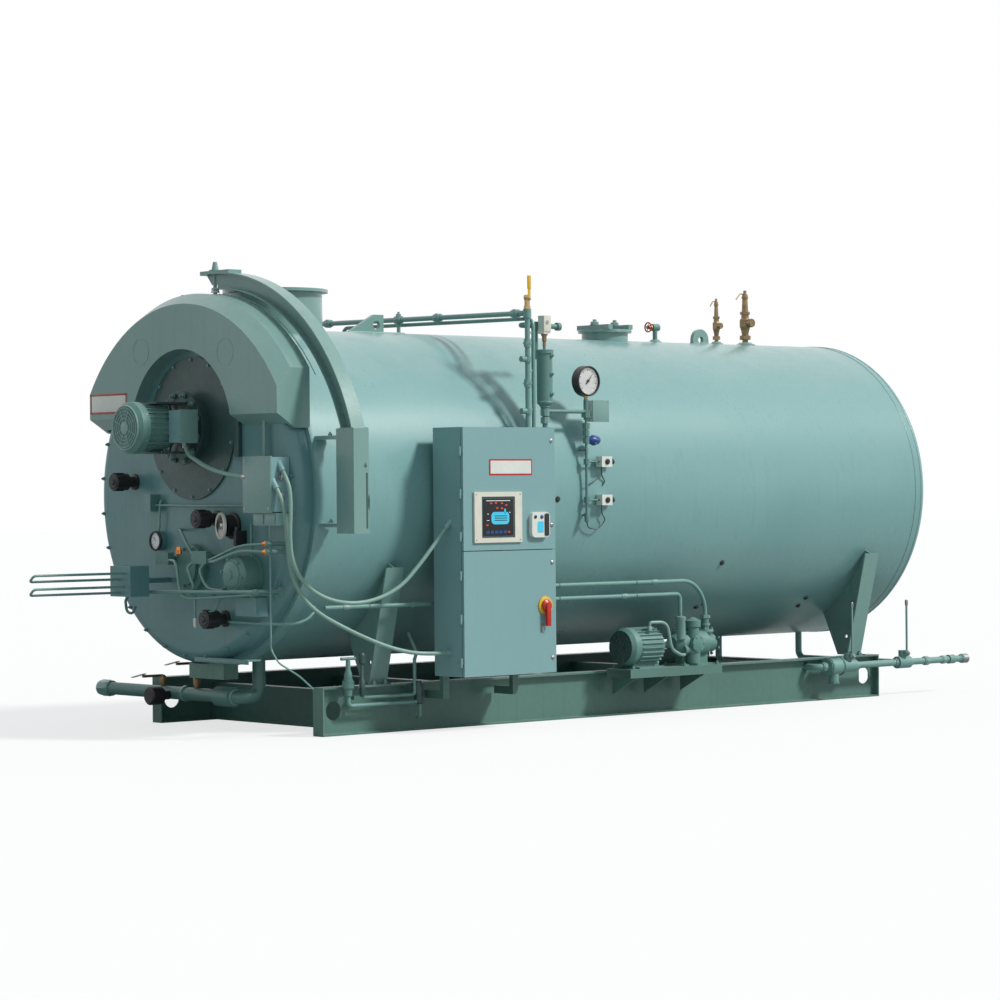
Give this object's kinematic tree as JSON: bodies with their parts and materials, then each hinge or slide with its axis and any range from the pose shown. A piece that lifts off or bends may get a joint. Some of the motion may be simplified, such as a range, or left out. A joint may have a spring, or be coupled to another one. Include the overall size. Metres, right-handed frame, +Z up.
{
  "type": "industrial boiler",
  "caption": "Packaged fire-tube boiler on a steel skid: horizontal round shell, arched inlet hood with fan motor, control cabinet, davit arm, flue stub, relief valves, gauges and drain piping.",
  "frame": {"origin": "middle of the skid's length and width, on its underside at floor level", "axes": "+X from the burner end to the rear head, +Z up; the control cabinet is on the -Y side"},
  "size_m": [7.373, 2.7683, 3.01],
  "materials": {
    "green_paint": "satin sage green enamel",
    "dark_green_paint": "satin green enamel, grimed",
    "cast_green": "painted casting",
    "bare_steel": "satin",
    "brass": "satin",
    "black_plastic": "matte",
    "white_plastic": "matte",
    "red_paint": "gloss enamel",
    "yellow_sleeve": "dipped sleeve",
    "screen": "gloss",
    "conduit_skin": "painted flexible conduit"
  },
  "bodies": {
    "boiler": {"blowdown_pipe": "green_paint", "blower_motor": "cast_green", "burner_front": "cast_green", "cabinet_body": "green_paint", "cabinet_plate": "bare_steel", "cabinet_stand": "dark_green_paint", "column_switch": "white_plastic", "control_housing": "cast_green", "cross_conduit": "conduit_skin", "cross_pipe": "dark_green_paint", "davit_arm": "green_paint", "davit_hanger": "dark_green_paint", "davit_post": "green_paint", "drip_tray": "dark_green_paint", "fan_plate": "dark_green_paint", "flue_outlet": "dark_green_paint", "front_door": "green_paint", "front_drain": "green_paint", "front_ring": "green_paint", "fuel_block": "cast_green", "fuel_loops": "green_paint", "gauge_manifold": "green_paint", "head_instruments": "dark_green_paint", "inlet_hood": "green_paint", "junction_box": "green_paint", "lifting_lugs": "green_paint", "lower_conduit": "conduit_skin", "manway": "cast_green", "oil_pump": "cast_green", "pressure_controls": "white_plastic", "pressure_gauge": "black_plastic", "pump_base": "green_paint", "pump_motor": "cast_green", "rear_cover": "green_paint", "rear_head": "green_paint", "relief_valve_large": "brass", "relief_valve_small": "brass", "saddle_front": "green_paint", "saddle_rear": "green_paint", "shell": "green_paint", "side_pipes": "green_paint", "sight_ports": "black_plastic", "skid_crossmembers": "dark_green_paint", "skid_rail_far": "green_paint", "skid_rail_near": "green_paint", "steam_branch": "green_paint", "terminal_box": "green_paint", "test_valve": "brass", "upper_conduit": "conduit_skin", "vent_valve": "brass", "water_column": "cast_green"},
    "upper_door": {"cabinet_upper_door": "green_paint", "operator_panel": "screen"},
    "lower_door": {"cabinet_lower_door": "green_paint"},
    "disconnect": {"disconnect_handle": "red_paint"},
    "front_drain_lever": {"blowdown_lever_front": "green_paint"},
    "rear_drain_lever": {"blowdown_lever_rear": "green_paint"},
    "test_handle": {"test_lever": "yellow_sleeve"},
    "vent_handwheel": {"vent_wheel": "red_paint"}
  },
  "joints": [
    {"name": "upper_door_hinge", "type": "hinge", "parent": "boiler", "child": "upper_door", "pos_m": [-1.8193, -1.382, 1.535], "axis": [0, 0, -1], "range_deg": [0, 105]},
    {"name": "lower_door_hinge", "type": "hinge", "parent": "boiler", "child": "lower_door", "pos_m": [-1.8193, -1.382, 0.75], "axis": [0, 0, -1], "range_deg": [0, 105]},
    {"name": "disconnect_turn", "type": "hinge", "parent": "lower_door", "child": "disconnect", "pos_m": [-1.13, -1.412, 0.786], "axis": [0, 1, 0], "range_deg": [0, 90]},
    {"name": "front_drain_lever_turn", "type": "hinge", "parent": "boiler", "child": "front_drain_lever", "pos_m": [2.15, -1.0413, 0.309], "axis": [0, 1, 0], "range_deg": [0, 90]},
    {"name": "rear_drain_lever_turn", "type": "hinge", "parent": "boiler", "child": "rear_drain_lever", "pos_m": [2.735, -1.0413, 0.309], "axis": [0, 1, 0], "range_deg": [0, 90]},
    {"name": "test_handle_turn", "type": "hinge", "parent": "boiler", "child": "test_handle", "pos_m": [-0.997, -1.126, 2.768], "axis": [0, 1, 0], "range_deg": [0, 90]},
    {"name": "vent_handwheel_turn", "type": "hinge", "parent": "boiler", "child": "vent_handwheel", "pos_m": [1.15, 0, 2.69], "axis": [1, 0, 0], "range_deg": [0, 720]}
  ]
}
